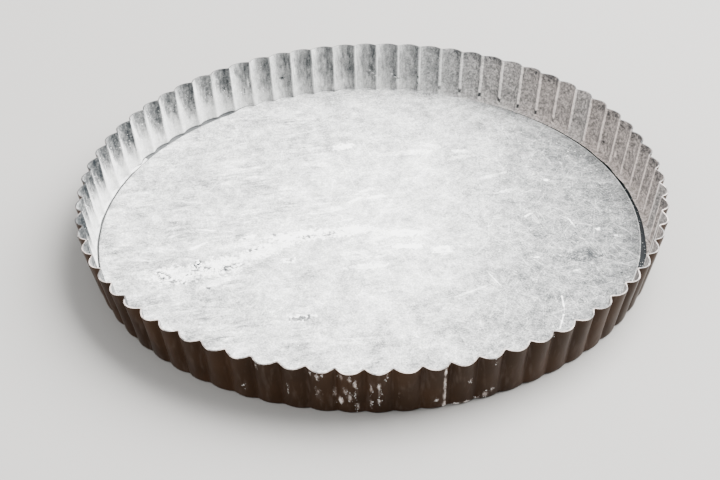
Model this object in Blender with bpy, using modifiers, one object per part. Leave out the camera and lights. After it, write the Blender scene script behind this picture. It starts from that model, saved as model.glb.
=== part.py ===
"""A round fluted tart tin with a loose base.

Two separate pieces of dark coated sheet steel: a ring with a fluted, sloping wall and a flat ledge turned
inwards at its foot, and a plain disc that rests on that ledge. Metres, +Z up. The origin is the middle of
the foot, and a ridge of the wall lies on the +X axis.
"""

import math

import bmesh
import bpy

# The ring. Its radii are those of its outer side.
SHEET = 0.0007                 # thickness of the ring's steel
FLUTES = 72
HEIGHT = 0.0265                # from the foot to the rim at a ridge
RIM_RIDGE_RADIUS = 0.13705     # where a ridge points inwards, at the rim
RIM_FLUTE_DEPTH = 0.00295      # how far a lobe bulges out from the ridges beside it, at the rim
RIM_DIP = 0.00057              # the rim is this much lower on a lobe than on a ridge
FOOT_RIDGE_RADIUS = 0.1329
FOOT_FLUTE_DEPTH = 0.0011
FOOT_BEND = 0.0013             # size of the bend between the wall and the ledge
LEDGE_INNER_RADIUS = 0.1235

# The loose base.
BASE_RADIUS = 0.1302
BASE_THICKNESS = 0.0008
BASE_EDGE = 0.00025            # width of the eased edge
BASE_SHIFT = (-0.0013, 0.0005) # the disc has play in the ring and lies a little off its middle
REST_GAP = 0.0003              # air left between the two pieces

# How finely the curves are divided.
STEPS_PER_FLUTE = 6
BASE_SIDES = 144


def clear_scene():
    for old in list(bpy.data.objects):
        bpy.data.objects.remove(old, do_unlink=True)


def make_collection(name):
    collection = bpy.data.collections.new(name)
    bpy.context.scene.collection.children.link(collection)
    return collection


def make_material(name, colour, roughness, metallic):
    material = bpy.data.materials.new(name)
    material.use_nodes = True
    shader = material.node_tree.nodes["Principled BSDF"]
    shader.inputs["Base Color"].default_value = (*colour, 1.0)
    shader.inputs["Roughness"].default_value = roughness
    shader.inputs["Metallic"].default_value = metallic
    return material


def lobe_share(angle):
    """How far out the wall is at this angle: 0 on a ridge and 1 mid-lobe, along a circular arc."""
    half_pitch = math.pi / FLUTES
    across = (angle % (2 * half_pitch)) / half_pitch - 1.0
    rise = RIM_FLUTE_DEPTH / (RIM_RIDGE_RADIUS * half_pitch)
    arc_radius = (1.0 + rise**2) / (2.0 * rise)
    return (math.sqrt(arc_radius**2 - across**2) - (arc_radius - rise)) / rise


def place_loop(verts, radius, flute_depth, height, dip):
    """Move one closed loop of points on to the wall, each at the angle that it already has."""
    for vert in verts:
        angle = math.atan2(vert.co.y, vert.co.x)
        share = lobe_share(angle)
        out = radius + flute_depth * share
        vert.co = (out * math.cos(angle), out * math.sin(angle), height - dip * share)


def wall_levels():
    """The outer side's loops, rim to ledge's inner edge: each a radius, flute depth, height and dip."""
    bend_rise = FOOT_BEND / HEIGHT
    bend_radius = FOOT_RIDGE_RADIUS + (RIM_RIDGE_RADIUS - FOOT_RIDGE_RADIUS) * bend_rise
    bend_depth = FOOT_FLUTE_DEPTH + (RIM_FLUTE_DEPTH - FOOT_FLUTE_DEPTH) * bend_rise
    return [
        (RIM_RIDGE_RADIUS, RIM_FLUTE_DEPTH, HEIGHT, RIM_DIP),
        (bend_radius, bend_depth, FOOT_BEND, 0.0),
        (FOOT_RIDGE_RADIUS - FOOT_BEND, FOOT_FLUTE_DEPTH, 0.0, 0.0),
        (LEDGE_INNER_RADIUS, 0.0, 0.0, 0.0),
    ]


def make_fluted_ring(collection, material):
    """The wall and its ledge, drawn down from the rim as one open sheet and then thickened inwards."""
    levels = wall_levels()
    bm = bmesh.new()
    bmesh.ops.create_circle(bm, segments=FLUTES * STEPS_PER_FLUTE, radius=RIM_RIDGE_RADIUS)
    edges = list(bm.edges)
    place_loop(bm.verts, *levels[0])
    for level in levels[1:]:
        grown = bmesh.ops.extrude_edge_only(bm, edges=edges)["geom"]
        verts = [item for item in grown if isinstance(item, bmesh.types.BMVert)]
        below = set(verts)
        edges = [edge for edge in bm.edges if edge.verts[0] in below and edge.verts[1] in below]
        place_loop(verts, *level)
    bmesh.ops.recalc_face_normals(bm, faces=bm.faces)
    bm.faces.ensure_lookup_table()
    wall_face = bm.faces[0]
    if wall_face.normal.dot(wall_face.calc_center_median()) < 0.0:
        bmesh.ops.reverse_faces(bm, faces=bm.faces)
    mesh = bpy.data.meshes.new("fluted_ring")
    bm.to_mesh(mesh)
    bm.free()
    mesh.shade_smooth()
    mesh.materials.append(material)
    ring = bpy.data.objects.new("fluted_ring", mesh)
    collection.objects.link(ring)

    thicken = ring.modifiers.new("Sheet", "SOLIDIFY")
    thicken.thickness = SHEET
    thicken.offset = -1.0
    thicken.use_even_offset = True
    return ring


def make_loose_base(collection, material):
    """The disc, lying on the ledge."""
    bpy.ops.mesh.primitive_cylinder_add(
        vertices=BASE_SIDES, radius=BASE_RADIUS, depth=BASE_THICKNESS
    )
    base = bpy.context.object
    base.name = "loose_base"
    base.data.name = "loose_base"
    base.location = (*BASE_SHIFT, SHEET + REST_GAP + BASE_THICKNESS / 2)
    for other in list(base.users_collection):
        other.objects.unlink(base)
    collection.objects.link(base)
    base.data.materials.append(material)
    base.data.set_sharp_from_angle(angle=math.radians(40))

    ease = base.modifiers.new("Eased edge", "BEVEL")
    ease.width = BASE_EDGE
    ease.segments = 1
    ease.limit_method = "ANGLE"
    ease.angle_limit = math.radians(60)
    return base


def main():
    clear_scene()
    collection = make_collection("fluted_tart_tin")
    coating = make_material("nonstick_coating", (0.046, 0.034, 0.026), 0.38, 0.35)
    floured = make_material("floured_steel", (0.70, 0.70, 0.68), 0.85, 0.0)
    make_fluted_ring(collection, coating)
    make_loose_base(collection, floured)


main()
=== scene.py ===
"""A greased and floured tart tin: a fluted ring of coated steel with a loose base lying in it.

Laid out as a Blender add-on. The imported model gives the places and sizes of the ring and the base. The
operators build the pieces that are seen, one after another, and the stage they stand on. Metres, +Z up.
"""

import math
import random

import bmesh
import bpy
from mathutils import Matrix, Vector, noise
from mathutils.bvhtree import BVHTree


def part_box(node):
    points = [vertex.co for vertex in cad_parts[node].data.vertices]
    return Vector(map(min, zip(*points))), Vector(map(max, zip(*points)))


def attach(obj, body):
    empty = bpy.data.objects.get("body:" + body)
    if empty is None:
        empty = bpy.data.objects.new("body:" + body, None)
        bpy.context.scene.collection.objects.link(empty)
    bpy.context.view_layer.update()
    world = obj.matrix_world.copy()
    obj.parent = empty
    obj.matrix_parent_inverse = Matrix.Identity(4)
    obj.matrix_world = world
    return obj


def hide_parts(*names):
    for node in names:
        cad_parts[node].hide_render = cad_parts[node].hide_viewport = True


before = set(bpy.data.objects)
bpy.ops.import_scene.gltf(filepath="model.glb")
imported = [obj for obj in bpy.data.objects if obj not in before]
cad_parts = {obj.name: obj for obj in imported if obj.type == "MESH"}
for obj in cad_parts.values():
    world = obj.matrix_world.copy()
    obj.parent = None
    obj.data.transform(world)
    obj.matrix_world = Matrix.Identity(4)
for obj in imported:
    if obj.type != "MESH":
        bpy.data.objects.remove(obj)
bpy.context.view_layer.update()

bl_info = {
    "name": "Floured Tart Tin",
    "version": (1, 0, 0),
    "blender": (4, 5, 0),
    "location": "3D View > Sidebar > Tart Tin",
    "description": "Builds a greased and floured tart tin with a fluted wall and a loose base",
    "category": "Add Mesh",
}

RING_LOW, RING_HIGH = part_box("fluted_ring")
BASE_LOW, BASE_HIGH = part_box("loose_base")

MM = 0.001
BODY = "root"
ORIGIN = (0.0, 0.0, 0.0)

FLUTES = 72
RING_RADIUS = (RING_HIGH.x - RING_LOW.x) / 2
RIM_HEIGHT = RING_HIGH.z - 0.15 * MM    # of the rim's outer corner, which is lower than the inner one
BASE_RADIUS = (BASE_HIGH.x - BASE_LOW.x) / 2
BASE_MIDDLE = (BASE_LOW + BASE_HIGH) / 2

# Directions are in degrees from +X, counter-clockwise.
GREY_SHADED_FOOT = 139.0             # middle of the short stretch where the ledge, the flour bank and the wall's foot are drawn grey, partly bare coating and partly painted shade
BARE_LEDGE = (-60.0, 15.0)      # the stretch of ledge that lies bare, with a few loose grains

# How finely the pieces are divided.
STEPS_PER_FLUTE = 16
WALL_ROWS = 24
BEND_ROWS = 4
LEDGE_ROWS = 3
BASE_SIDES = 288
BASE_RINGS = 140
BANK_STEPS_PER_FLUTE = 12
BANK_ROWS = 7
GRAINS_PER_BATCH = 40           # made in one small mesh, which is then poured into the whole one


# ---- Settings ----

def length(name, description, default):
    return bpy.props.FloatProperty(name=name, description=description, default=default, unit="LENGTH")


def angle_of(name, description, degrees):
    return bpy.props.FloatProperty(
        name=name, description=description, default=math.radians(degrees), subtype="ANGLE")


def number(name, description, default, least, most):
    return bpy.props.FloatProperty(
        name=name, description=description, default=default, min=least, max=most)


def count(name, description, default, least=0):
    return bpy.props.IntProperty(name=name, description=description, default=default, min=least)


def colour_of(name, description, default):
    return bpy.props.FloatVectorProperty(
        name=name, description=description, default=default, subtype="COLOR", min=0.0, max=1.0)


class RingShape(bpy.types.PropertyGroup):
    flutes: count("Flutes", "Lobes around the wall", FLUTES, 12)
    sheet: length("Sheet", "Thickness of the steel", 0.7 * MM)
    lobe_radius: length(
        "Lobe radius", "Outermost radius, mid-lobe at the rim", RING_HIGH.x / math.cos(math.pi / FLUTES))
    rim_height: length("Rim height", "Height of the outer side's rim on a ridge", RIM_HEIGHT)
    flute_depth: length("Flute depth", "How far a lobe bulges past its ridges at the rim", 2.95 * MM)
    rim_dip: length("Rim dip", "How much lower the rim is on a lobe than on a ridge", 0.57 * MM)
    foot_ridge_radius: length("Foot ridge radius", "Radius of the ridges at the foot", 132.9 * MM)
    foot_flute_depth: length(
        "Foot flute depth", "How far a lobe bulges past its ridges at the foot", 1.1 * MM)
    foot_bend: length("Foot bend", "Radius of the bend between the wall and the ledge", 1.3 * MM)
    ledge_inner_radius: length("Ledge inner radius", "Where the ledge under the base ends", 123.5 * MM)
    ridge_softness: number(
        "Ridge softness", "Rounding of the ridges, as a share of half a flute", 0.13, 0.01, 0.5)
    waver: length("Waver", "How far the wall strays from a true circle", 0.25 * MM)
    unevenness: number("Unevenness", "How much the lobes differ in depth, as a share", 0.12, 0.0, 0.5)
    cut_edge: length("Cut edge", "Width of the worn corner along the rim", 0.16 * MM)


class BaseShape(bpy.types.PropertyGroup):
    radius: length("Radius", "Radius of the disc", BASE_RADIUS)
    edge: length("Edge", "Rounding of the disc's edge", 0.3 * MM)
    relief: length("Relief", "Unevenness of the flour on the disc", 0.05 * MM)


class FlourSettings(bpy.types.PropertyGroup):
    bank_height: length("Bank height", "How far the flour at the foot climbs the wall", 2.6 * MM)
    base_grains: count("Grains on the base", "Loose grains and crumbs of flour on the disc", 1400)
    flakes: count("Flakes on the base", "Cracked flakes of flour in the smears on the disc", 200)
    wall_grains: count("Grains on the wall", "Grains of flour caught on the wall's inner side", 2200)
    ledge_grains: count("Grains on the ledge", "Grains of flour on the bare stretch of ledge", 90)
    outer_grains: count("Grains outside", "Grains in the flour smudged on the outer side", 420)
    seed: count("Seed", "Seed of the scattered grains", 7)


class FinishSettings(bpy.types.PropertyGroup):
    coating: colour_of("Coating", "Dark coating of the outer side", (0.0165, 0.0079, 0.0037))
    bare: colour_of(
        "Greased coating", "Coating of the inner side where the flour is thin", (0.006, 0.009, 0.0115))
    flour: colour_of("Flour", "Dry white flour", (0.84, 0.84, 0.82))
    # Also the colour of the dry flour on the outer side, where its warm tint is a painted reflection of warm
    # light.
    cream: colour_of("Greased flour", "Flour that has taken up grease", (0.82, 0.71, 0.65))


class StageSettings(bpy.types.PropertyGroup):
    floor_colour: colour_of("Floor colour", "Plain pale floor", (0.26, 0.253, 0.242))
    floor_radius: length("Floor radius", "Size of the floor", 4.0)
    key_power: bpy.props.FloatProperty(
        name="Key light", description="Power of the large light at the right",
        default=480.0, unit="POWER")
    fill_power: bpy.props.FloatProperty(
        name="Fill light", description="Power of the soft light at the left front",
        default=28.0, unit="POWER")
    sky: number("Room light", "Strength of the even light from all around", 1.55, 0.0, 10.0)
    aim: bpy.props.FloatVectorProperty(
        name="Aim", description="Point that the camera looks at", size=3, unit="LENGTH",
        default=(-4.0 * MM, -46.6 * MM, RIM_HEIGHT))
    distance: length("Distance", "From the aim to the camera", 0.71204)
    azimuth: angle_of("Azimuth", "How far the camera has moved round to the right", 2.352)
    elevation: angle_of("Elevation", "Height of the camera above the floor", 35.487)
    roll: angle_of("Roll", "Tilt of the camera about its own line of sight", -1.403)
    lens: number("Lens", "Focal length in millimetres on a 36 mm sensor", 78.82, 10.0, 500.0)


# ---- Shape of the wall ----

def smooth(low, high, value):
    """0 below low, 1 above high, and a smooth rise between them."""
    share = min(1.0, max(0.0, (value - low) / (high - low)))
    return share * share * (3.0 - 2.0 * share)


def around(angle):
    return Vector((math.cos(angle), math.sin(angle), 0.0))


def lobe_share(angle, ring):
    """How far out the wall is at this angle: 0 on a ridge and 1 mid-lobe, an arc with rounded ridges."""
    half_pitch = math.pi / ring.flutes
    across = abs((angle % (2 * half_pitch)) / half_pitch - 1.0)
    soft = ring.ridge_softness
    from_ridge = (math.hypot(1.0 - across, soft) - soft) / (math.hypot(1.0, soft) - soft)
    rise = ring.flute_depth / ((ring.lobe_radius - ring.flute_depth) * half_pitch)
    arc_radius = (1.0 + rise**2) / (2.0 * rise)
    return (math.sqrt(arc_radius**2 - (1.0 - from_ridge) ** 2) - (arc_radius - rise)) / rise


def wall_point(angle, level, ring):
    """The outer side's point at this angle on one level, with the small faults of a pressed sheet."""
    ridge_radius, depth, height, dip = level
    direction = around(angle)
    sway = ring.waver * noise.noise(direction * 1.7 + Vector((0.0, 0.0, 7.0)))
    sway += 0.3 * ring.waver * noise.noise(direction * 9.0 + Vector((0.0, 0.0, 60.0 * height)))
    deeper = 1.0 + ring.unevenness * noise.noise(direction * 15.0 + Vector((3.0, 0.0, 0.0)))
    turned = angle + 0.004 * noise.noise(direction * 17.0 + Vector((0.0, 5.0, 25.0 * height)))
    share = lobe_share(turned, ring)
    point = direction * (ridge_radius + sway + depth * deeper * share)
    point.z = height - dip * share * deeper
    return point


def wall_level(height, ring):
    """Ridge radius, flute depth, height and dip of the sloping wall at this height."""
    share = height / ring.rim_height
    rim_ridge_radius = ring.lobe_radius - ring.flute_depth
    return (
        ring.foot_ridge_radius + (rim_ridge_radius - ring.foot_ridge_radius) * share,
        ring.foot_flute_depth + (ring.flute_depth - ring.foot_flute_depth) * share,
        height,
        ring.rim_dip * share,
    )


def ring_levels(ring):
    """All levels of the outer side, down from the rim, round the bend and in along the ledge."""
    levels = []
    for row in range(WALL_ROWS + 1):
        share = row / WALL_ROWS
        levels.append(wall_level(ring.rim_height + (ring.foot_bend - ring.rim_height) * share, ring))
    bend_top = levels[-1][0]
    for row in range(1, BEND_ROWS + 1):
        turn = math.pi / 2 * row / BEND_ROWS
        radius = bend_top - ring.foot_bend * (1.0 - math.cos(turn))
        height = ring.foot_bend * (1.0 - math.sin(turn))
        levels.append((radius, ring.foot_flute_depth, height, 0.0))
    bend_end = levels[-1][0]
    for row in range(1, LEDGE_ROWS + 1):
        share = row / LEDGE_ROWS
        radius = bend_end + (ring.ledge_inner_radius - bend_end) * share
        levels.append((radius, ring.foot_flute_depth * (1.0 - share), 0.0, 0.0))
    return levels


def closer_at_ridges(angle, ring):
    """Moves evenly spaced angles towards the ridges, where the wall turns sharply."""
    pitch = 2 * math.pi / ring.flutes
    share = (angle / pitch) % 1.0
    return (math.floor(angle / pitch) + share - 0.6 * math.sin(2 * math.pi * share) / (2 * math.pi)) * pitch


def base_edge_radius(angle, base):
    """How far the disc's edge is from the ring's middle, at this angle."""
    along = BASE_MIDDLE.xy.dot(around(angle).xy)
    return along + math.sqrt(base.radius**2 - (BASE_MIDDLE.xy.length_squared - along**2))


# ---- Meshes ----

def new_piece(name, bm, slot, *materials):
    """Makes an object of the mesh, with its place in the mesh, riding on the tin."""
    mesh = bpy.data.meshes.new(name)
    bm.to_mesh(mesh)
    bm.free()
    mesh.shade_smooth()
    for material in materials:
        mesh.materials.append(material)
    piece = bpy.data.objects.new(name, mesh)
    bpy.context.scene.collection.objects.link(piece)
    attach(piece, BODY)
    return piece


def extrude_loop(bm, edges):
    """Extrudes a closed loop of edges once, and gives the new loop's edges and points."""
    grown = bmesh.ops.extrude_edge_only(bm, edges=edges)["geom"]
    verts = [item for item in grown if isinstance(item, bmesh.types.BMVert)]
    new = set(verts)
    rim = [
        item for item in grown
        if isinstance(item, bmesh.types.BMEdge) and item.verts[0] in new and item.verts[1] in new
    ]
    return rim, verts


def surface_of(name):
    """A search tree of the finished piece of this name, for laying grains on it."""
    bpy.context.view_layer.update()
    return BVHTree.FromObject(bpy.data.objects[name], bpy.context.evaluated_depsgraph_get())


class Grains:
    """Many small grains, each half sunk in a surface. They are made in batches and poured into one mesh."""

    def __init__(self, rng):
        self.rng = rng
        self.whole = bmesh.new()
        self.batch = bmesh.new()
        self.made = 0

    def add(self, place, normal, size, flatness, subdivisions=1):
        """One grain at place. Gives its points."""
        turn = normal.to_track_quat("Z", "Y").to_matrix().to_4x4()
        spin = Matrix.Rotation(self.rng.uniform(0.0, 2 * math.pi), 4, "Z")
        long = size * self.rng.uniform(0.7, 1.3)
        wide = size * self.rng.uniform(0.7, 1.3)
        shape = Matrix.Diagonal((long, wide, size * flatness, 1.0))
        matrix = Matrix.Translation(place) @ turn @ spin @ shape
        self.made += 1
        if self.made % GRAINS_PER_BATCH == 0:
            self.pour()
        grain = bmesh.ops.create_icosphere(self.batch, subdivisions=subdivisions, radius=0.5, matrix=matrix)
        return grain["verts"]

    def pour(self):
        """Moves the batch into the whole mesh, and gives the whole mesh."""
        mesh = bpy.data.meshes.new("batch")
        self.batch.to_mesh(mesh)
        self.whole.from_mesh(mesh)
        bpy.data.meshes.remove(mesh)
        self.batch.clear()
        return self.whole


# ---- Wiring of the materials ----

class Signal:
    """What one output in a node tree gives. Those that are numbers can be added, multiplied and so on."""

    def __init__(self, net, socket):
        self.net = net
        self.socket = socket

    def __add__(self, other):
        return self.net.math("ADD", self, other)

    def __sub__(self, other):
        return self.net.math("SUBTRACT", self, other)

    def __mul__(self, other):
        return self.net.math("MULTIPLY", self, other)

    def __truediv__(self, other):
        return self.net.math("DIVIDE", self, other)

    def __neg__(self):
        return self * -1.0


class NodeNet:
    """Makes and links the nodes of one tree. A value is a number, a tuple or a signal."""

    def __init__(self, tree):
        self.tree = tree

    def feed(self, socket, value):
        if isinstance(value, Signal):
            self.tree.links.new(value.socket, socket)
        else:
            socket.default_value = value

    def add(self, kind, feeds=None, **settings):
        """A new node with these settings and inputs."""
        made = self.tree.nodes.new(kind)
        for key, value in settings.items():
            setattr(made, key, value)
        for key, value in (feeds or {}).items():
            self.feed(made.inputs[key], value)
        return made

    def signal(self, output, kind, feeds=None, **settings):
        """One output of a new node."""
        return Signal(self, self.add(kind, feeds, **settings).outputs[output])

    def signals(self, made):
        """All outputs of a node, by name."""
        return {socket.name: Signal(self, socket) for socket in made.outputs}

    def place(self):
        return self.signal("Object", "ShaderNodeTexCoord")

    def attribute(self, name):
        return self.signal("Fac", "ShaderNodeAttribute", attribute_name=name)

    def math(self, operation, *values, clamp=False):
        feeds = dict(enumerate(values))
        return self.signal(0, "ShaderNodeMath", feeds, operation=operation, use_clamp=clamp)

    def vector(self, operation, *values):
        output = "Value" if operation in ("LENGTH", "DOT_PRODUCT") else "Vector"
        return self.signal(output, "ShaderNodeVectorMath", dict(enumerate(values)), operation=operation)

    def even(self, size):
        """A vector with the same number on all three axes."""
        return self.signal(0, "ShaderNodeCombineXYZ", {0: size, 1: size, 2: size})

    def turned(self, place, angle):
        """The place turned about the upright axis."""
        feeds = {"Vector": place, "Angle": angle}
        return self.signal(0, "ShaderNodeVectorRotate", feeds, rotation_type="Z_AXIS")

    def step(self, value, low, high, start=0.0, end=1.0):
        """A smooth change from start to end as the value goes from low to high."""
        feeds = {"Value": value, "From Min": low, "From Max": high, "To Min": start, "To Max": end}
        return self.signal("Result", "ShaderNodeMapRange", feeds, interpolation_type="SMOOTHSTEP")

    def noise(self, place, size, detail=2.0, roughness=0.5, distortion=0.0):
        feeds = {
            "Vector": place, "Scale": 1.0 / size, "Detail": detail, "Roughness": roughness,
            "Distortion": distortion,
        }
        return self.signal("Fac", "ShaderNodeTexNoise", feeds)

    def swing(self, value, amount):
        """A pattern that runs from 0 to 1, made to swing this much about 0."""
        return (value - 0.5) * amount

    def total(self, *values):
        """All the values added up, and held between 0 and 1."""
        added = values[0]
        for value in values[1:]:
            added = self.math("ADD", added, value)
        return self.math("MINIMUM", self.math("MAXIMUM", added, 0.0), 1.0)

    def mix(self, share, first, second):
        """Mixes two numbers."""
        return self.signal(0, "ShaderNodeMix", {0: share, 2: first, 3: second}, data_type="FLOAT")

    def mix_colours(self, share, first, second):
        feeds = {0: share, 6: rgba(first), 7: rgba(second)}
        return self.signal(2, "ShaderNodeMix", feeds, data_type="RGBA", clamp_factor=True)

    def group(self, tree, **feeds):
        """The outputs of a placed node group. Feeds are its inputs, with _ for a space in their names."""
        made = self.add("ShaderNodeGroup")
        made.node_tree = tree
        for key, value in feeds.items():
            self.feed(made.inputs[key.replace("_", " ")], value)
        return self.signals(made)


def rgba(colour):
    """A colour with its fourth channel, unless it is a signal."""
    return colour if isinstance(colour, Signal) else (*colour, 1.0)


def new_group(name, inputs, outputs):
    """A node group with named sockets: inputs are {name: default}, outputs are names of plain values."""
    kinds = {float: "NodeSocketFloat", tuple: "NodeSocketVector"}
    tree = bpy.data.node_groups.new(name, "ShaderNodeTree")
    for label, default in inputs.items():
        socket = tree.interface.new_socket(label, in_out="INPUT", socket_type=kinds[type(default)])
        socket.default_value = default
    for label in outputs:
        tree.interface.new_socket(label, in_out="OUTPUT", socket_type="NodeSocketFloat")
    net = NodeNet(tree)
    return tree, net, net.signals(net.add("NodeGroupInput")), net.add("NodeGroupOutput").inputs


def new_material(name, roughness, specular):
    """A new material, its net and the inputs of its shader."""
    material = bpy.data.materials.new(name)
    material.use_nodes = True
    shader = material.node_tree.nodes["Principled BSDF"].inputs
    shader["Roughness"].default_value = roughness
    shader["Specular IOR Level"].default_value = specular
    return material, NodeNet(material.node_tree), shader


def flute_group(ring):
    """Where a point is on the wall: its height, its place across the lobe, and a chance for each flute."""
    tree, net, entry, leave = new_group(
        "flute_places", {"Position": ORIGIN}, ("Height", "Ridge", "Side", "Chance"))
    split = net.signals(net.add("ShaderNodeSeparateXYZ", {0: entry["Position"]}))
    turns = net.math("ARCTAN2", split["Y"], split["X"]) / (2 * math.pi) + 1.0
    flutes = turns * float(ring.flutes)
    side = net.math("FRACT", flutes) * 2.0 - 1.0
    number_of_flute = {"W": net.math("FLOOR", flutes)}
    chance = net.signal("Value", "ShaderNodeTexWhiteNoise", number_of_flute, noise_dimensions="1D")
    net.feed(leave["Height"], split["Z"] / ring.rim_height)
    net.feed(leave["Ridge"], net.math("ABSOLUTE", side))
    net.feed(leave["Side"], side)
    net.feed(leave["Chance"], chance)
    return tree


def grain_group():
    """Powder: fine grain in two sizes, as a mask for colour and a height for relief."""
    tree, net, entry, leave = new_group(
        "flour_grain", {"Position": ORIGIN, "Size": 0.6 * MM}, ("Grain", "Height"))
    scaled = net.vector("DIVIDE", entry["Position"], net.even(entry["Size"]))
    both = net.mix(0.35, net.noise(scaled, 1.0, 3.0, 0.65), net.noise(scaled, 0.35, 2.0, 0.7))
    net.feed(leave["Grain"], net.step(both, 0.36, 0.64))
    net.feed(leave["Height"], both)
    return tree


def spot_group():
    """A soft oval spot with a ragged edge: 1 inside and 0 outside."""
    tree, net, entry, leave = new_group(
        "ragged_spot",
        {
            "Position": ORIGIN, "Middle": ORIGIN, "Half Size": (1.0, 1.0, 1.0), "Turn": 0.0,
            "Raggedness": 0.5, "Ragged Size": 2.0 * MM,
        },
        ("Mask",))
    apart = net.vector("SUBTRACT", entry["Position"], entry["Middle"])
    shares = net.vector("DIVIDE", net.turned(apart, -entry["Turn"]), entry["Half Size"])
    scaled = net.vector("DIVIDE", entry["Position"], net.even(entry["Ragged Size"]))
    rough = (net.noise(scaled, 1.0, 3.0, 0.6) - 0.5) * entry["Raggedness"]
    net.feed(leave["Mask"], net.step(net.vector("LENGTH", shares) + rough * 3.0, 0.55, 1.0, 1.0, 0.0))
    return tree


def crack_group():
    """A net of thin wandering cracks in dried flour, as a mask."""
    tree, net, entry, leave = new_group(
        "flour_cracks", {"Position": ORIGIN, "Size": 3.0 * MM, "Width": 0.12}, ("Crack",))
    scaled = net.vector("DIVIDE", entry["Position"], net.even(entry["Size"]))
    bend = net.signal("Color", "ShaderNodeTexNoise", {"Vector": scaled, "Scale": 1.6, "Detail": 2.0})
    bent = net.vector("ADD", scaled, net.vector("MULTIPLY", bend, (0.9, 0.9, 0.9)))
    to_edge = net.signal(
        "Distance", "ShaderNodeTexVoronoi", {"Vector": bent, "Scale": 1.0}, feature="DISTANCE_TO_EDGE")
    line = net.step(to_edge / entry["Width"], 0.2, 1.0, 1.0, 0.0)
    net.feed(leave["Crack"], line * net.step(net.noise(scaled, 1.4, 2.0), 0.22, 0.38))
    return tree


def scratch_group():
    """Long thin curved scratches that run one way, as a mask."""
    tree, net, entry, leave = new_group(
        "fine_scratches",
        {
            "Position": ORIGIN, "Turn": 0.0, "Length": 30.0 * MM, "Spacing": 3.0 * MM, "Width": 0.02,
            "Shift": 0.0,
        },
        ("Scratch",))
    stretch = net.signal(
        0, "ShaderNodeCombineXYZ", {0: entry["Length"], 1: entry["Spacing"], 2: entry["Length"]})
    scaled = net.vector("DIVIDE", net.turned(entry["Position"], entry["Turn"]), stretch)
    moved = net.vector("ADD", scaled, net.even(entry["Shift"]))
    off = net.math("ABSOLUTE", net.noise(moved, 1.0, 1.0, 0.4, 0.3) - 0.5)
    line = net.step(off / entry["Width"], 0.0, 1.0, 1.0, 0.0)
    net.feed(leave["Scratch"], line * net.step(net.noise(moved, 0.9, 2.0), 0.45, 0.6))
    return tree


def facing(net, place, degrees, low, high):
    """1 on the side of the tin that lies in this direction from the middle, and 0 on the other."""
    toward = net.vector("DOT_PRODUCT", place, tuple(around(math.radians(degrees))))
    return net.step(toward / RING_RADIUS, low, high)


def relief(net, shader, height, depth, strength):
    """Fine bumps that are this deep between a height of 0 and 1."""
    feeds = {"Height": height, "Distance": depth, "Strength": strength}
    net.feed(shader["Normal"], net.signal("Normal", "ShaderNodeBump", feeds))


# ---- Materials ----

def coating_material(finish, groups):
    """The outer side: dark satin coating, a little mottled, with dry flour smudged on it."""
    material, net, shader = new_material("outer_coating", 0.4, 0.12)
    shader["Specular Tint"].default_value = (1.0, 0.82, 0.68, 1.0)
    place = net.place()
    tone = net.noise(place, 28 * MM, 3.0)
    streaks = net.noise(net.vector("MULTIPLY", place, (1.0, 1.0, 0.18)), 2.2 * MM, 3.0)
    grain = net.group(groups["grain"], Position=place, Size=0.7 * MM)
    lighter = [channel * 1.7 for channel in finish.coating]
    colour = net.mix_colours(net.step(tone, 0.35, 0.7), finish.coating, lighter)
    haze = net.step(streaks, 0.5, 0.75) * 0.02
    dabs = net.noise(net.vector("MULTIPLY", place, (1.0, 1.0, 0.45)), 1.3 * MM, 2.0, 0.6)
    edge = net.mix(0.75, grain["Height"], dabs)
    cover = net.step(net.attribute("outer_dust") + edge * 0.95, 0.60, 1.45)
    cover = net.math("MAXIMUM", cover * 0.85, haze)
    gloss = net.step(streaks, 0.3, 0.7, 0.34, 0.46)
    # The dry flour outside is drawn in the greased flour's cream colour; its warm tint is a painted
    # reflection of warm light.
    net.feed(shader["Base Color"], net.mix_colours(cover, colour, finish.cream))
    net.feed(shader["Roughness"], net.mix(net.step(cover, 0.1, 0.6), gloss, 0.95))
    relief(net, shader, grain["Height"] * 0.35 + cover, 0.06 * MM, 0.6)
    return material


# Marks on the wall's inner side: direction in degrees, height, half width and half height in millimetres,
# and strength.
PALE_WALL_MARKS = (
    (109.3, 15.6, 0.5, 2.6, 0.35), (120.8, 15, 0.5, 3, 0.3), (91.6, 11.6, 0.8, 0.5, 0.3),
    (90.9, 10.4, 1, 0.5, 0.3), (90.2, 9.2, 1.1, 0.5, 0.3), (86.4, 9.6, 1, 0.5, 0.3),
    (85.6, 8.4, 1, 0.5, 0.3), (97.8, 6.4, 0.9, 1.5, 0.2), (103, 5.2, 1.2, 1, 0.15),
    (24, 7.5, 0.8, 2.2, 0.35), (20.5, 5.6, 0.9, 1, 0.3),
)
DARK_WALL_MARKS = (
    (112.4, 12.4, 2, 0.9, 0.3), (121.8, 10.4, 0.6, 2.4, 0.34), (91.9, 10.4, 1, 1.4, 0.2),
    (85.7, 9.3, 1.3, 0.5, 0.34), (84.8, 8, 1.2, 0.6, 0.36), (80.2, 9.2, 0.8, 0.9, 0.4),
    (80.3, 5.8, 0.7, 0.8, 0.4), (52, 24, 1.6, 1.2, 0.3), (29, 8.6, 0.8, 0.8, 0.25),
)


def wall_marks(net, groups, place, rows):
    """The strongest of a row of ragged spots on the wall's inner side at each point."""
    most = 0.0
    for direction, height, half_width, half_height, strength in rows:
        turn = math.radians(direction)
        middle = around(turn) * (RING_HIGH.x - 4.0 * MM)
        spot = net.group(
            groups["spot"], Position=place, Middle=(middle.x, middle.y, height * MM),
            Half_Size=(12.0 * MM, half_width * MM, half_height * MM), Turn=turn,
            Raggedness=0.5, Ragged_Size=0.9 * MM)
        most = net.math("MAXIMUM", most, spot["Mask"] * strength)
    return most


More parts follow.
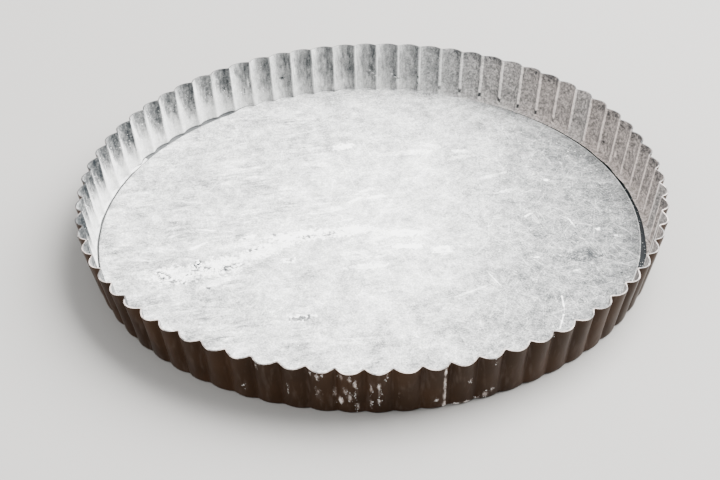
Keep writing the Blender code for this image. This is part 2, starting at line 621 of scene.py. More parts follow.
def inner_wall_material(finish, groups):
    """The wall's inner side: greased coating, with flour that changes around the tin and up the wall."""
    material, net, shader = new_material("inner_wall", 0.5, 0.16)
    place = net.place()
    flute = net.group(groups["flute"], Position=place)
    height, ridge, side, chance = (flute[name] for name in ("Height", "Ridge", "Side", "Chance"))
    grain = net.group(groups["grain"], Position=place, Size=0.9 * MM)
    granules = net.step(net.noise(place, 1.5 * MM, 2.0, 0.55), 0.38, 0.62)
    streaks = net.noise(net.vector("MULTIPLY", place, (1.0, 1.0, 0.2)), 1.4 * MM, 3.0, 0.6)
    clouds = net.noise(place, 4.0 * MM, 3.0, 0.6)
    left = facing(net, place, 172.0, 0.35, 0.90)
    right = facing(net, place, 18.0, 0.2, 0.75)
    back = facing(net, place, 59.0, 0.87, 0.95)

    # On the left the flour thins out part of the way up; less flour on the lobes' right-hand sides is
    # painted shade.
    line = net.total(
        0.36,
        net.step(side, -0.95, -0.85, 0.30, 0.0),
        chance * 0.26,
        # Painted light and shade: the flour line is higher on the lobes' left-hand sides and lower on their
        # right-hand sides.
        net.step(side, -0.2, 0.8, 0.0, 0.50),
        net.swing(streaks, 0.40),
    )
    haze = net.total(
        net.mix(facing(net, place, 180.0, 0.85, 0.96), 0.31, 0.17),
        chance * 0.18,
        # Painted light and shade: the thin film is paler on the lobes' left-hand sides and darker on their
        # right-hand sides.
        net.step(side, -0.8, 0.4, -0.05, 0.14),
        net.swing(streaks, 0.6),
        net.step(granules, 0.5, 1.0, 0.0, 0.12),
    )
    thick_flour_and_shade = net.mix(net.step(height - line, -0.24, 0.28), 0.90, haze)

    # At the back it is thin and streaky and paler near the foot, with painted light on the lobes' left-hand
    # sides and painted shade on their right-hand sides.
    thin = net.total(
        0.56,
        net.step(height, 0.15, 0.5, 0.20, 0.0),
        # Painted shade on the lobes' right-hand sides here, and painted light on their left-hand sides in
        # the next line.
        net.step(side, -0.7, 0.15, -0.20, 0.0),
        net.step(side, 0.15, 0.8, 0.0, 0.22),
        net.step(ridge, 0.86, 0.94, 0.0, 0.26),
        net.swing(streaks, 0.8),
    )

    # On the right it is granular, with a fine pale line along each ridge and bare patches by the rim.
    worn = net.step(chance, 0.35, 0.6) * net.step(clouds, 0.40, 0.56)
    banked = net.attribute("banked")
    spread = net.total(
        0.585,
        net.swing(granules, 0.20),
        net.swing(grain["Grain"], 0.14),
        net.step(ridge, 0.82, 0.92, 0.0, 0.40) * net.math("SUBTRACT", 1.0, banked),
        # Painted shade: darker on the lobes' right-hand sides.
        net.step(side, -0.8, -0.2, -0.09, 0.0),
        net.step(height, 0.1, 0.3, 0.14, 0.0),
        worn * net.step(height, 0.72, 0.95, 0.0, -0.26),
    )

    # Each ridge's foot carries a small bare spot on one stretch at the back.
    spot = height - chance * 0.05
    spot = net.step(spot, 0.08, 0.11) * net.step(spot, 0.15, 0.20, 1.0, 0.0)
    spot = spot * net.step(ridge, 0.82, 0.92, 0.0, -0.8)
    cover = net.total(
        net.mix(left, net.mix(right, thin, spread), thick_flour_and_shade),
        net.swing(grain["Grain"], 0.14),
        net.swing(clouds, net.mix(right, 0.45, 0.25)),
        spot * back,
        wall_marks(net, groups, place, PALE_WALL_MARKS),
        -wall_marks(net, groups, place, DARK_WALL_MARKS),
    )

    # The ledge is bare where the bank of flour does not reach it, and grey with dust at the left. Along a
    # short stretch the ledge, the bank and the wall's foot are drawn grey, partly bare coating and partly
    # painted shade along the base's edge.
    grey_shaded_foot = facing(net, place, GREY_SHADED_FOOT, 0.90, 0.93)
    ledge = net.mix(grey_shaded_foot, net.mix(facing(net, place, 180.0, 0.5, 0.8), 0.04, 0.34), 0.32)
    foot = height - grey_shaded_foot * 0.028 + banked
    cover = net.mix(net.step(foot, 0.045, 0.07), cover * ledge, cover)

    # The flour is creamy with grease at the right, more on some lobes than on others.
    creamy = facing(net, place, 12.0, 0.35, 0.9) * net.step(chance, 0.0, 0.6, 0.6)
    white = net.mix_colours(creamy, finish.flour, finish.cream)
    share = net.math("POWER", cover, 2.0) * 0.78
    net.feed(shader["Base Color"], net.mix_colours(share, finish.bare, white))
    net.feed(shader["Roughness"], net.step(cover, 0.1, 0.6, 0.36, 0.92))
    relief(net, shader, grain["Height"] + cover * 0.8, 0.14 * MM, 0.8)
    return material


def rim_material(finish, groups):
    """The cut edge: dark metal with a thin broken line of flour."""
    material, net, shader = new_material("cut_edge", 0.5, 0.3)
    place = net.place()
    grain = net.group(groups["grain"], Position=place, Size=0.8 * MM)
    front = facing(net, place, -80.0, -0.15, 0.35)
    cover = net.step(net.noise(place, 6 * MM, 3.0, 0.6), 0.4, 0.65) + grain["Grain"] * 0.3
    cover = net.math("MULTIPLY", cover, net.mix(front, 0.08, 0.5), clamp=True)
    net.feed(shader["Base Color"], net.mix_colours(cover, finish.bare, finish.cream))
    net.feed(shader["Roughness"], net.step(cover, 0.1, 0.6, 0.35, 0.9))
    relief(net, shader, grain["Height"], 0.05 * MM, 0.6)
    return material


# Marks in the flour on the base, in millimetres from the tin's middle: place, half length, half width,
# direction in degrees, and how much paler or darker they are.
PALE_MARKS = (
    (-89.3, -39.6, 16, 8.5, 9, 0.36), (-69.5, -33, 17, 8, 21, 0.36), (-50, -20, 20, 6, 31, 0.3),
    (-33, -8.5, 22, 5.5, 11, 0.36), (-10, -4, 13, 5, 14, 0.34), (-72, -46, 13, 3.4, 28, 0.18),
    (-60, -14, 20, 2.8, 22, 0.14), (-82.7, -16.9, 6.5, 1.1, 40, 0.3), (-96, -9, 4, 0.9, 32, 0.22),
    (-81, -3.6, 8.5, 0.7, -4, 0.24), (-59.3, -10, 5.5, 1.8, 32, 0.3), (-40, -27.5, 2.2, 1.4, 0, 0.3),
    (-7, -24, 9, 5, 0, 0.16), (-16, 72, 7, 3.4, 20, 0.36), (2, 25, 7, 1.8, 15, 0.25),
    (-9, 22, 6, 1.5, 40, 0.22), (-3, 31, 7, 1.6, 30, 0.22), (16, -6, 9.5, 3.8, 0, 0.4),
    (17, -17, 9.5, 2.4, 0, 0.4), (34, -20, 5.5, 4.8, 0, 0.3), (18, 66, 18, 3.4, 8, 0.18),
    (29, 73, 9, 2.6, -20, 0.18), (42, 61, 12, 2.2, 12, 0.15), (46, 67, 7, 2.6, -10, 0.2),
    (87, 40, 1.9, 1.3, 0, 0.45), (76, 9, 2.8, 1, 40, 0.4), (109, -3, 1.5, 1.4, 30, 0.5),
    (117, -8, 1.2, 1.1, 0, 0.4), (78, -26, 2, 1, 0, 0.4), (-1, -33, 12, 2.8, 8, 0.2),
    (60, 44, 9, 1.6, 24, 0.22), (66, 30, 8, 1.4, 20, 0.2), (96, -36, 2, 1.1, 20, 0.26),
    (87.6, -60, 7.5, 0.5, 92, 0.45), (86.4, -73, 7, 0.5, 76, 0.45), (96.5, 3, 5, 0.5, 112, 0.4),
    (58, -44, 9, 0.5, 118, 0.3), (47, -52, 11, 1, 30, 0.2), (-104, -20, 12, 2.8, 14, 0.12),
    (-92, 6, 18, 2.6, 6, 0.08), (-70, 12, 20, 2.6, 4, 0.08),
)
DARK_MARKS = (
    (-55.1, -19.3, 4.6, 1.6, 28, 0.34), (-46.6, -8.2, 1.6, 1.4, 27, 0.34),
    (-37.9, -7.2, 2.6, 1.3, 24, 0.3), (-31, -9.3, 6.2, 1.8, 17, 0.38), (-19, -6, 6.5, 1.6, 22, 0.3),
    (-61.2, -11.1, 1, 0.8, 0, 0.6), (-74.2, -50.2, 1.2, 1.1, 0, 0.5),
    (-87.6, -36.3, 4.5, 2.6, 17, 0.16), (-96, -41, 4, 1.4, -54, 0.18), (-67, -34.5, 4, 1.8, 30, 0.18),
    (-7, -24.2, 2.2, 1, 0, 0.18), (16, -6, 4.5, 1, 0, 0.26), (34, -20, 1.8, 1.4, 0, 0.14),
    (112, 20, 14, 7, 80, 0.06),
)
# Where the flour is crazed: place, half length, half width, direction, and how dark the cracks are. The last
# patch is only faint, and has no flakes.
CRAZED_PATCHES = (
    (-96, -41, 7, 3, -54, 0.62), (-89, -45, 5, 2.4, -10, 0.6), (-84, -40, 4.5, 1.8, 47, 0.6),
    (-81.5, -33.5, 6, 2.4, 82, 0.6), (-75, -35.5, 7, 2.6, -14, 0.55), (-65, -34, 8.5, 3.2, 30, 0.6),
    (-55, -19.3, 5, 2, 28, 0.38), (-31, -9.3, 7, 2.2, 17, 0.38), (-19, -6, 7, 2.4, 22, 0.36),
    (-38, -28.5, 4, 2, 11, 0.2), (-30, -72.3, 7, 2.6, 8, 0.42), (100, -25, 10, 6, 0, 0.15),
)

# Sets of fine scratches on the base: how far they are turned clockwise from +X in degrees, their length and
# spacing in millimetres, how wide they are drawn, and a shift that gives each set its own pattern.
SCRATCHES = (
    (70, 34, 3, 0.022, 1.3), (118, 26, 2.4, 0.022, 5.1), (25, 30, 3, 0.02, 9.7),
    (155, 22, 2.2, 0.022, 14.2), (95, 46, 4, 0.014, 21.6), (48, 24, 2, 0.022, 33.0),
)


def base_marks(net, groups, place, rows, raggedness, ragged_size):
    """The strongest of a row of ragged spots on the base at each point."""
    most = 0.0
    for x, y, half_length, half_width, turn, strength in rows:
        spot = net.group(
            groups["spot"], Position=place, Middle=(x * MM, y * MM, BASE_HIGH.z),
            Half_Size=(half_length * MM, half_width * MM, 1.0), Turn=math.radians(turn),
            Raggedness=raggedness, Ragged_Size=ragged_size)
        most = net.math("MAXIMUM", most, spot["Mask"] * strength)
    return most


def base_material(finish, groups):
    """The disc's upper side: flour over worn coating, brushed at the left and scratched at the right."""
    material, net, shader = new_material("base_top", 0.92, 0.3)
    place = net.place()
    grain = net.group(groups["grain"], Position=place, Size=0.75 * MM)
    clouds = net.noise(place, 17 * MM, 4.0, 0.55)
    mottle = net.noise(place, 3.8 * MM, 4.0, 0.64)
    fine = net.noise(place, 0.9 * MM, 2.0, 0.6)
    brushed = net.vector("MULTIPLY", net.turned(place, math.radians(-12.0)), (0.22, 1.0, 1.0))
    brushed = net.noise(brushed, 2.8 * MM, 3.0, 0.55, 0.9)
    brushed = net.mix(net.step(net.noise(place, 26 * MM, 2.0), 0.42, 0.6), 0.5, brushed)
    left = facing(net, place, 185.0, -0.5, 0.3)
    right = facing(net, place, -5.0, 0.1, 0.75)
    scratches = 0.0
    for turn, long, spacing, width, shift in SCRATCHES:
        made = net.group(
            groups["scratch"], Position=place, Turn=math.radians(turn), Length=long * MM,
            Spacing=spacing * MM, Width=width, Shift=shift)
        scratches = net.math("MAXIMUM", scratches, made["Scratch"])
    cracks = net.group(groups["crack"], Position=place, Size=3.0 * MM, Width=0.30)
    crazed = base_marks(net, groups, place, CRAZED_PATCHES, 0.6, 2.0 * MM)
    reach = net.vector("LENGTH", net.vector("MULTIPLY", place, (1.0, 0.75, 0.0)))
    from_middle = net.vector("SUBTRACT", place, (BASE_MIDDLE.x, BASE_MIDDLE.y, 0.0))
    from_middle = net.vector("LENGTH", net.vector("MULTIPLY", from_middle, (1.0, 1.0, 0.0)))
    edge = net.step(from_middle, BASE_RADIUS - 0.6 * MM, BASE_RADIUS - 0.3 * MM, 0.0, 0.3)
    cover = net.total(
        0.62,
        # Painted light: the flour is drawn paler towards the middle of the disc, a painted pool of light.
        net.step(reach, 0.0, 95.0 * MM, 0.13, 0.0),
        right * -0.21,
        net.swing(clouds, net.mix(right, 0.55, 0.30)),
        left * net.swing(brushed, 0.85),
        net.swing(mottle, 0.64),
        net.swing(fine, 0.32),
        net.swing(grain["Grain"], 0.25),
        scratches * net.mix(right, 0.12, 0.20),
        edge * right,
        base_marks(net, groups, place, PALE_MARKS, 0.7, 2.0 * MM),
        -base_marks(net, groups, place, DARK_MARKS, 0.8, 1.1 * MM),
        -(crazed * cracks["Crack"]),
    )
    share = net.math("POWER", cover, 2.0)
    net.feed(shader["Base Color"], net.mix_colours(share, finish.bare, finish.flour))
    relief(net, shader, grain["Height"] + cover * 1.2, 0.10 * MM, 0.6)
    return material


def flour_material(finish, groups):
    """Loose grains and flakes of dry flour."""
    material, net, shader = new_material("dry_flour", 0.95, 0.2)
    place = net.place()
    grain = net.group(groups["grain"], Position=place, Size=0.5 * MM)
    tone = net.step(net.noise(place, 4 * MM, 3.0, 0.6), 0.35, 0.65)
    shade = [channel * 0.86 for channel in finish.flour]
    share = net.mix(0.5, tone, grain["Grain"])
    net.feed(shader["Base Color"], net.mix_colours(share, shade, finish.flour))
    relief(net, shader, grain["Height"], 0.10 * MM, 0.7)
    return material


def floor_material(colour):
    """The plain floor, very slightly uneven in tone."""
    material, net, shader = new_material("stage_floor", 0.85, 0.2)
    tone = net.noise(net.place(), 0.4, 2.0)
    soft = [channel * 0.97 for channel in colour]
    net.feed(shader["Base Color"], net.mix_colours(tone, soft, colour))
    return material


MAKERS = {
    "outer_coating": coating_material,
    "inner_wall": inner_wall_material,
    "cut_edge": rim_material,
    "base_top": base_material,
    "dry_flour": flour_material,
}


def finish_of(name, scene):
    """The material of that name, made when it is first asked for."""
    if name in bpy.data.materials:
        return bpy.data.materials[name]
    trees = bpy.data.node_groups
    groups = {
        "flute": trees.get("flute_places") or flute_group(scene.tart_ring),
        "grain": trees.get("flour_grain") or grain_group(),
        "spot": trees.get("ragged_spot") or spot_group(),
        "crack": trees.get("flour_cracks") or crack_group(),
        "scratch": trees.get("fine_scratches") or scratch_group(),
    }
    return MAKERS[name](scene.tart_finish, groups)


# ---- Operators ----

# Dry flour on the outer side: direction in degrees, height, half width and half height in millimetres,
# and strength.
OUTER_DABS = (
    (-99.2, 24, 0.7, 2, 0.42), (-97.9, 23, 0.8, 2.4, 0.5), (-97, 24.5, 0.6, 1.6, 0.45),
    (-98, 12, 1.4, 4, 0.3), (-95.2, 13, 0.9, 4.5, 0.4), (-93.9, 23, 1, 2.4, 0.46),
    (-92.4, 22.8, 0.8, 2.6, 0.5), (-91.6, 19, 0.8, 3, 0.62), (-93.3, 14.5, 0.9, 2.6, 0.42),
    (-94.2, 8.2, 1.1, 2.4, 0.8), (-92.6, 10.5, 1, 3.2, 0.55), (-91.3, 5, 0.8, 2.4, 0.55),
    (-91.5, 12, 0.7, 3, 0.4), (-88.8, 16, 0.7, 3.4, 0.48), (-87.5, 18.4, 0.9, 2, 0.66),
    (-87.3, 14, 0.8, 2.4, 0.45), (-87.5, 8.4, 0.9, 2.2, 0.6), (-88.9, 7, 0.9, 3, 0.46),
    (-86.2, 23.5, 0.6, 2.2, 0.4), (-76.1, 23, 0.7, 3, 0.75), (-76, 16, 0.55, 5, 0.85),
    (-75.9, 8, 0.6, 4, 0.85), (-75.8, 2, 0.9, 2.2, 0.85), (-71.4, 14.4, 0.9, 1.6, 0.55),
    (-73.6, 1, 1.6, 0.8, 0.75), (-71.8, 1.2, 1.8, 0.8, 0.75), (-69.6, 1.4, 1.6, 0.7, 0.55),
    (-77.4, 6, 1.3, 1.1, 0.5), (-68.2, 3.2, 1.3, 2.4, 0.55), (-67, 5.5, 0.7, 1.8, 0.4),
    (-108.7, 24, 0.6, 3, 0.45), (-67.2, 23.4, 0.7, 2.6, 0.42), (-103.5, 13, 0.8, 3, 0.25),
    (-112, 8, 0.7, 2, 0.22), (-84, 12, 0.6, 4, 0.22), (-55, 24.5, 0.8, 0.9, 0.5),
)


def dust_at(point):
    """How much dry flour there is at a point of the outer side, from 0 to 1."""
    angle = math.degrees(math.atan2(point.y, point.x))
    most = 0.0
    for direction, height, half_width, half_height, strength in OUTER_DABS:
        away = math.radians((angle - direction + 180.0) % 360.0 - 180.0) * point.xy.length
        spread = (away / (half_width * MM)) ** 2 + ((point.z - height * MM) / (half_height * MM)) ** 2
        most = max(most, strength * math.exp(-spread))
    return most


class TART_OT_fluted_wall(bpy.types.Operator):
    """Draw the fluted wall and its ledge down from the rim, and thicken the sheet"""

    bl_idname = "tart_tin.fluted_wall"
    bl_label = "Fluted wall"

    def execute(self, context):
        ring = context.scene.tart_ring
        levels = ring_levels(ring)
        bm = bmesh.new()
        bmesh.ops.create_circle(bm, segments=ring.flutes * STEPS_PER_FLUTE, radius=ring.lobe_radius)
        edges = list(bm.edges)
        for vert in bm.verts:
            angle = closer_at_ridges(math.atan2(vert.co.y, vert.co.x), ring)
            vert.co = wall_point(angle, levels[0], ring)
        for level in levels[1:]:
            edges, verts = extrude_loop(bm, edges)
            for vert in verts:
                vert.co = wall_point(math.atan2(vert.co.y, vert.co.x), level, ring)
        bmesh.ops.recalc_face_normals(bm, faces=bm.faces)
        bm.faces.ensure_lookup_table()
        if bm.faces[0].normal.dot(bm.faces[0].calc_center_median()) < 0.0:
            bmesh.ops.reverse_faces(bm, faces=bm.faces)
        dust = bm.verts.layers.float.new("outer_dust")
        for vert in bm.verts:
            vert[dust] = dust_at(vert.co)
        wall = new_piece(
            "fluted_wall", bm, "nonstick_coating", finish_of("outer_coating", context.scene),
            finish_of("inner_wall", context.scene), finish_of("cut_edge", context.scene))
        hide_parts("fluted_ring")

        thicken = wall.modifiers.new("Sheet", "SOLIDIFY")
        thicken.thickness = ring.sheet
        thicken.offset = -1.0
        thicken.use_even_offset = True
        thicken.material_offset = 1
        thicken.material_offset_rim = 2
        ease = wall.modifiers.new("Cut edge", "BEVEL")
        ease.width = ring.cut_edge
        ease.segments = 2
        ease.limit_method = "ANGLE"
        ease.angle_limit = math.radians(60)
        ease.harden_normals = True
        return {"FINISHED"}


class TART_OT_base_disc(bpy.types.Operator):
    """Spin the loose base from its section and lay it on the ledge"""

    bl_idname = "tart_tin.base_disc"
    bl_label = "Loose base"

    def execute(self, context):
        base = context.scene.tart_base
        thickness = BASE_HIGH.z - BASE_LOW.z
        section = (
            (base.radius - base.edge, 0.0), (base.radius - 0.3 * base.edge, -0.3 * base.edge),
            (base.radius, -base.edge), (base.radius - base.edge, -thickness), (0.0, -thickness),
        )
        bm = bmesh.new()
        last = bm.verts.new(ORIGIN)
        for radius, height in section:
            grown = bmesh.ops.extrude_vert_indiv(bm, verts=[last])
            last = grown["verts"][0]
            last.co = (radius, 0.0, height)
        bm.edges.ensure_lookup_table()
        bmesh.ops.subdivide_edges(bm, edges=[bm.edges[0]], cuts=BASE_RINGS - 1)
        bmesh.ops.spin(
            bm, geom=bm.verts[:] + bm.edges[:], cent=ORIGIN, axis=(0.0, 0.0, 1.0),
            angle=2 * math.pi, steps=BASE_SIDES, use_merge=True)
        bmesh.ops.remove_doubles(bm, verts=bm.verts, dist=0.001 * MM)
        bmesh.ops.recalc_face_normals(bm, faces=bm.faces)
        for vert in bm.verts:
            if vert.co.z > -0.5 * base.edge:
                inside = smooth(0.0, 4 * MM, base.radius - vert.co.xy.length)
                wave = noise.noise(vert.co / (9 * MM)) + 0.5 * noise.noise(vert.co / (3.5 * MM))
                vert.co.z += base.relief * inside * wave
            vert.co += Vector((BASE_MIDDLE.x, BASE_MIDDLE.y, BASE_HIGH.z))
        for face in bm.faces:
            face.material_index = 0 if face.calc_center_median().z > BASE_HIGH.z - 1.1 * base.edge else 1
        disc = new_piece(
            "base_disc", bm, "floured_steel", finish_of("base_top", context.scene),
            finish_of("outer_coating", context.scene))
        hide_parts("loose_base")
        return {"FINISHED"}


# The flour banked in the corner around the tin: direction in degrees, how full the gap beside the base is
# (1 where the flour reaches the base), and the least depth of the bank and the slit left beside the base,
# both in millimetres.
BANK_ROUND = (
    (-180, 1, 0.4, 0.95), (-150, 0.8, 0.4, 0.8), (-110, 0.3, 0.5, 0.8), (-40, 0, 0.3, 0.8),
    (-13, 0, 0.3, 1.1), (0, 0.5, 0.3, 1.2), (14, 1, 0.4, 1.35), (35, 1, 0.5, 1.1), (55, 1, 0.9, 0.5),
    (72, 0.3, 1.2, 0.3), (112, 0.2, 1.1, 0.3), (123, 0.5, 0.5, 0.5), (155, 0.5, 0.3, 0.7),
    (161, 1, 0.3, 0.95), (180, 1, 0.4, 0.95),
)


def bank_at(angle):
    """Fill, least depth and slit of the bank in this direction."""
    direction = (math.degrees(angle) + 180.0) % 360.0 - 180.0
    for first, second in zip(BANK_ROUND, BANK_ROUND[1:]):
        if direction <= second[0]:
            share = smooth(first[0], second[0], direction)
            return [low + (high - low) * share for low, high in zip(first[1:], second[1:])]
    return list(BANK_ROUND[-1][1:])


def bank_section(angle, ring, base, flour):
    """Radius and height of each corner of the banked flour at this angle, from the wall to the base."""
    fill, least, slit = bank_at(angle)
    ledge = ring.sheet
    rough = noise.noise(around(angle) * 24.0)
    height = flour.bank_height * (0.1 + 0.2 * min(1.0, least) + 0.45 * fill) * (1.0 + 0.25 * rough)
    wall_top = wall_point(angle, wall_level(ledge + height, ring), ring).xy.length - 0.6 * ring.sheet
    wall_foot = wall_point(angle, wall_level(ring.foot_bend, ring), ring).xy.length - 0.9 * ring.sheet
    slit = slit * (1.0 + 0.5 * noise.noise(around(angle) * 11.0 + Vector((0.0, 4.0, 0.0)))) * MM
    full_toe = base_edge_radius(angle, base) + slit
    ridge_foot = ring.foot_ridge_radius - 1.5 * ring.sheet
    bare_toe = min(wall_foot, ridge_foot + 0.3 * MM) - least * (1.0 + 0.8 * rough) * MM
    toe = max(full_toe, bare_toe + (full_toe - bare_toe) * fill)
    toe_height = (BASE_HIGH.z - ledge) * 0.8 * fill + 0.05 * MM
    section = []
    for row in range(BANK_ROWS):
        share = row / (BANK_ROWS - 1)
        sag = 0.55 * share * (1.0 - share)
        radius = wall_top + (toe - wall_top) * share
        section.append((radius, ledge + height + (toe_height - height) * min(1.0, share + sag)))
    section.append((toe - 0.05 * MM, ledge - 0.1 * MM))
    section.append((wall_foot + 0.2 * MM, ledge - 0.1 * MM))
    return section


class TART_OT_foot_flour(bpy.types.Operator):
    """Bank the flour in the corner between the wall and the loose base"""

    bl_idname = "tart_tin.foot_flour"
    bl_label = "Flour at the foot"

    def execute(self, context):
        scene = context.scene
        ring, base, flour = scene.tart_ring, scene.tart_base, scene.tart_flour
        bm = bmesh.new()
        banked = bm.verts.layers.float.new("banked")
        bmesh.ops.create_circle(bm, segments=ring.flutes * BANK_STEPS_PER_FLUTE, radius=ring.lobe_radius)
        loops = [(list(bm.edges), list(bm.verts))]
        for _ in range(BANK_ROWS + 1):
            loops.append(extrude_loop(bm, loops[-1][0]))
        for row, (_, verts) in enumerate(loops):
            for vert in verts:
                angle = math.atan2(vert.co.y, vert.co.x)
                radius, height = bank_section(angle, ring, base, flour)[row]
                vert.co = (radius * math.cos(angle), radius * math.sin(angle), height)
                if 0 < row < BANK_ROWS:
                    vert.co.z += 0.12 * MM * noise.noise(vert.co / (1.6 * MM))
        bmesh.ops.bridge_loops(bm, edges=loops[0][0] + loops[-1][0])
        bmesh.ops.recalc_face_normals(bm, faces=bm.faces)
        # Along a short stretch the bank is left unmarked, so that the wall's material draws it grey there,
        # as painted shade.
        for _, verts in loops[:BANK_ROWS - 1]:
            for vert in verts:
                gap = vert.co.xy.normalized().dot(around(math.radians(GREY_SHADED_FOOT)).xy)
                vert[banked] = 1.0 - smooth(0.945, 0.975, gap)
        new_piece("foot_flour", bm, "flour", finish_of("inner_wall", scene))
        return {"FINISHED"}


# Where the lines that lay grains on the pieces start: over the base, just over the ledge, outside the wall.
DROP_HEIGHT = 50 * MM
LEDGE_DROP = Vector((0.0, 0.0, 2 * MM))
OUTSIDE = 200 * MM
DOWN = Vector((0.0, 0.0, -1.0))


def hit(tree, start, toward):
    """Point and normal where a line from start meets the surface, or nothing."""
    return tree.ray_cast(start, toward)[:2]


def base_drop(tree, x, y):
    """Point and normal of the disc's top at this place."""
    return hit(tree, Vector((x, y, DROP_HEIGHT)), DOWN)


class TART_OT_base_flour(bpy.types.Operator):
    """Scatter grains and crumbs of flour on the base, and cracked flakes where it is smeared"""

    bl_idname = "tart_tin.base_flour"
    bl_label = "Flour on the base"

    def execute(self, context):
        scene = context.scene
        base, flour = scene.tart_base, scene.tart_flour
        tree = surface_of("base_disc")
        rng = random.Random(flour.seed)
        material = finish_of("dry_flour", scene)

        grains = Grains(rng)
        for _ in range(flour.base_grains):
            reach = (base.radius - 1.0 * MM) * math.sqrt(rng.random())
            start = BASE_MIDDLE + around(rng.uniform(0.0, 2 * math.pi)) * reach
            place, normal = base_drop(tree, start.x, start.y)
            size = 0.25 * MM + 0.55 * MM * rng.random() ** 4
            grains.add(place, normal, size, rng.uniform(0.5, 0.8))
        new_piece("base_grains", grains.pour(), "flour", material)

        flakes = Grains(rng)
        for _ in range(flour.flakes):
            x, y, half_length, half_width, turn, _ = rng.choice(CRAZED_PATCHES[:-1])
            reach = math.sqrt(rng.random())
            spin = rng.uniform(0.0, 2 * math.pi)
            along = Vector((half_length * reach * math.cos(spin), half_width * reach * math.sin(spin)))
            along.rotate(Matrix.Rotation(math.radians(turn), 2))
            place, normal = base_drop(tree, (x + along.x) * MM, (y + along.y) * MM)
            for vert in flakes.add(place, normal, rng.uniform(0.7, 2.0) * MM, rng.uniform(0.12, 0.22), 2):
                away = vert.co - place
                vert.co += away * 0.7 * noise.noise(vert.co / (0.7 * MM))
        new_piece("flour_flakes", flakes.pour(), "flour", material)
        return {"FINISHED"}


# Grains on the wall beyond this, towards -X, are dry and white. The others are greased like the wall.
THICK_FLOUR_SIDE = -0.45


class TART_OT_wall_flour(bpy.types.Operator):
    """Scatter grains of flour on both sides of the wall and on the bare ledge"""

    bl_idname = "tart_tin.wall_flour"
    bl_label = "Flour on the wall"

    def execute(self, context):
        scene = context.scene
        ring, base, flour = scene.tart_ring, scene.tart_base, scene.tart_flour
        tree = surface_of("fluted_wall")
        rng = random.Random(flour.seed + 1)
        material = finish_of("dry_flour", scene)

        grains = Grains(rng)
        for _ in range(flour.wall_grains):
            height = ring.rim_height * (0.08 + 0.84 * rng.random() ** 1.4)
            direction = around(rng.uniform(0.0, 2 * math.pi))
            place, normal = hit(tree, Vector((0.0, 0.0, height)), direction)
            size = 0.2 * MM + 0.5 * MM * rng.random() ** 3
            for vert in grains.add(place, normal, size, rng.uniform(0.4, 0.7)):
                for face in vert.link_faces:
                    face.material_index = 0 if direction.x < THICK_FLOUR_SIDE else 1
        for _ in range(flour.ledge_grains):
            angle = math.radians(rng.uniform(*BARE_LEDGE))
            reach = base_edge_radius(angle, base) + rng.uniform(0.5, 2.6) * MM
            place, normal = hit(tree, around(angle) * reach + LEDGE_DROP, DOWN)
            if place is not None and place.z > 0.5 * ring.sheet:
                grains.add(place, normal, rng.uniform(0.15, 0.4) * MM, 0.7)
        new_piece("wall_grains", grains.pour(), "flour", material, finish_of("inner_wall", scene))

        outside = Grains(rng)
        strengths = [dab[4] for dab in OUTER_DABS]
        for dab in rng.choices(OUTER_DABS, strengths, k=flour.outer_grains):
            direction, height, half_width, half_height, _ = dab
            away = rng.gauss(0.0, 0.6) * half_width * MM / ring.lobe_radius
            z = (height + rng.gauss(0.0, 0.6) * half_height) * MM
            z = min(0.97 * ring.rim_height, max(0.6 * MM, z))
            toward = around(math.radians(direction) + away)
            place, normal = hit(tree, toward * OUTSIDE + Vector((0.0, 0.0, z)), -toward)
            size = 0.12 * MM + 0.33 * MM * rng.random() ** 2
            outside.add(place, normal, size, rng.uniform(0.4, 0.7))
        new_piece("outer_grains", outside.pour(), "flour", material)
        return {"FINISHED"}


LIGHT_DISTANCE = 2.2
SENSOR_WIDTH = 36.0


class TART_OT_stage(bpy.types.Operator):
    """Lay the floor and set the lights and the camera"""

    bl_idname = "tart_tin.stage"
    bl_label = "Stage"

    def execute(self, context):
        scene = context.scene
        stage = scene.tart_stage
        bm = bmesh.new()
        bmesh.ops.create_circle(bm, cap_ends=True, segments=96, radius=stage.floor_radius)
        mesh = bpy.data.meshes.new("floor")
        bm.to_mesh(mesh)
        bm.free()
        mesh.materials.append(floor_material(stage.floor_colour))
        floor = bpy.data.objects.new("floor", mesh)
        scene.collection.objects.link(floor)

        middle = Vector((0.0, 0.0, RING_HIGH.z))
        add_light(scene, "key_light", middle, 32.0, 48.0, 2.2, stage.key_power)
        add_light(scene, "fill_light", middle, -145.0, 35.0, 1.6, stage.fill_power)

        world = bpy.data.worlds.new("room_light")
        world.use_nodes = True
        scene.world = world
        background = world.node_tree.nodes["Background"]
        background.inputs["Color"].default_value = (0.98, 0.99, 1.0, 1.0)
        background.inputs["Strength"].default_value = stage.sky

        lens = bpy.data.cameras.new("camera")
        lens.lens = stage.lens
        lens.sensor_width = SENSOR_WIDTH
        camera = bpy.data.objects.new("camera", lens)
        scene.collection.objects.link(camera)
        turn = Matrix.Rotation(stage.azimuth, 4, "Z")
        turn = turn @ Matrix.Rotation(math.pi / 2 - stage.elevation, 4, "X")
        turn = turn @ Matrix.Rotation(stage.roll, 4, "Z")
        back = Matrix.Translation((0.0, 0.0, stage.distance))
        camera.matrix_world = Matrix.Translation(stage.aim) @ turn @ back
        scene.camera = camera
        return {"FINISHED"}


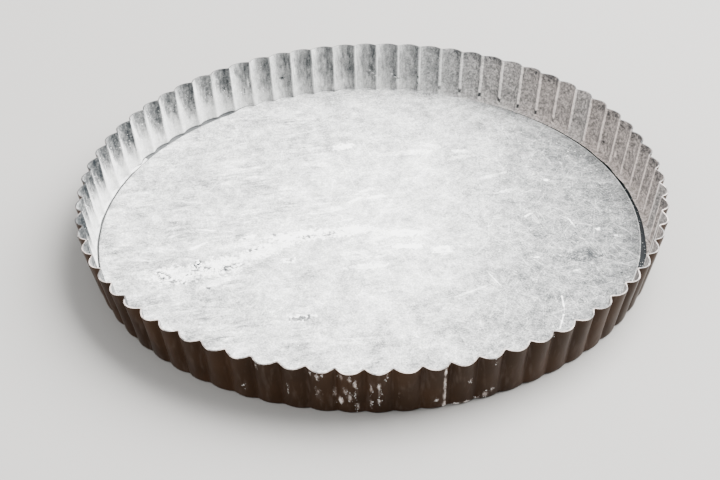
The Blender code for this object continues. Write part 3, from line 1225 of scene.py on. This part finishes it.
def add_light(scene, name, aim, direction, elevation, size, power):
    """A square soft light in this direction from the aim, both angles in degrees."""
    light = bpy.data.lights.new(name, "AREA")
    light.shape = "SQUARE"
    light.size = size
    light.energy = power
    lamp = bpy.data.objects.new(name, light)
    scene.collection.objects.link(lamp)
    rise = math.radians(elevation)
    away = around(math.radians(direction)) * math.cos(rise) + Vector((0.0, 0.0, math.sin(rise)))
    lamp.location = aim + away * LIGHT_DISTANCE
    lamp.rotation_euler = away.to_track_quat("Z", "Y").to_euler()


class TART_PT_panel(bpy.types.Panel):
    """The tin's pieces, in the order in which they are built"""

    bl_label = "Tart Tin"
    bl_idname = "TART_PT_panel"
    bl_space_type = "VIEW_3D"
    bl_region_type = "UI"
    bl_category = "Tart Tin"

    def draw(self, context):
        for operator in OPERATORS:
            self.layout.operator(operator.bl_idname)
        for name in SETTINGS:
            box = self.layout.box()
            settings = getattr(context.scene, name)
            for key in settings.bl_rna.properties.keys():
                if key not in ("rna_type", "name"):
                    box.prop(settings, key)


SETTINGS = {
    "tart_ring": RingShape,
    "tart_base": BaseShape,
    "tart_flour": FlourSettings,
    "tart_finish": FinishSettings,
    "tart_stage": StageSettings,
}
OPERATORS = (
    TART_OT_fluted_wall,
    TART_OT_base_disc,
    TART_OT_foot_flour,
    TART_OT_base_flour,
    TART_OT_wall_flour,
    TART_OT_stage,
)


def register():
    for name, settings in SETTINGS.items():
        bpy.utils.register_class(settings)
        setattr(bpy.types.Scene, name, bpy.props.PointerProperty(type=settings))
    for operator in OPERATORS:
        bpy.utils.register_class(operator)
    bpy.utils.register_class(TART_PT_panel)


def unregister():
    bpy.utils.unregister_class(TART_PT_panel)
    for operator in reversed(OPERATORS):
        bpy.utils.unregister_class(operator)
    for name, settings in SETTINGS.items():
        delattr(bpy.types.Scene, name)
        bpy.utils.unregister_class(settings)


def main():
    register()
    bpy.ops.tart_tin.fluted_wall()
    bpy.ops.tart_tin.base_disc()
    bpy.ops.tart_tin.foot_flour()
    bpy.ops.tart_tin.base_flour()
    bpy.ops.tart_tin.wall_flour()
    bpy.ops.tart_tin.stage()


if __name__ == "__main__":
    main()
